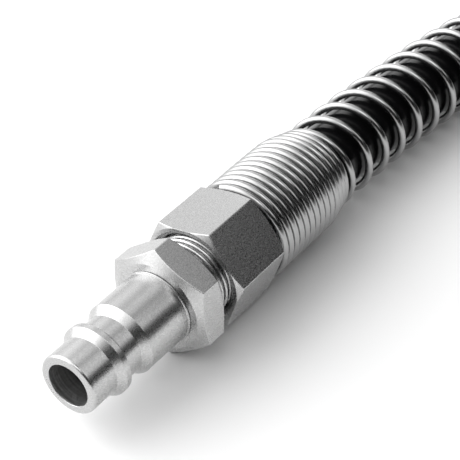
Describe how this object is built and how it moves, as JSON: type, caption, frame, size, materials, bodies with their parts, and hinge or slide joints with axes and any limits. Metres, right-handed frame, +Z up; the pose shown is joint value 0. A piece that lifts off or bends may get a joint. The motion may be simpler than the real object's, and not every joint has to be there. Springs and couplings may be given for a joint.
{
  "type": "spiral air hose",
  "caption": "Coiled plastic air hose with a quick plug on one end and a threaded outlet on the other, each held by a union nut with a wire spring guard.",
  "frame": {"origin": "centre of the quick plug's open front face, on the plug's axis", "axes": "+X from the plug's open end along the plug into the hose, +Z up from the surface the hose lies on, +Y to the left seen from the plug's open end"},
  "size_m": [0.2665, 0.1531, 0.1903],
  "materials": {
    "plated_steel": "bright zinc plating on turned steel bar, drawn hexagon flats",
    "spring_wire": "drawn and polished spring steel wire",
    "hose_plastic": "glossy black extruded polyurethane",
    "seal_rubber": "matt black moulded rubber"
  },
  "bodies": {
    "root": {"plug_body": "plated_steel", "plug_union_nut": "plated_steel", "plug_spring_guard": "spring_wire", "hose_plug_end": "hose_plastic", "hose_plug_tail": "hose_plastic", "hose_coil": "hose_plastic", "hose_outlet_tail": "hose_plastic", "hose_outlet_end": "hose_plastic", "outlet_spring_guard": "spring_wire", "outlet_union_nut": "plated_steel", "outlet_connector": "plated_steel", "outlet_seal_ring": "seal_rubber"}
  },
  "joints": []
}
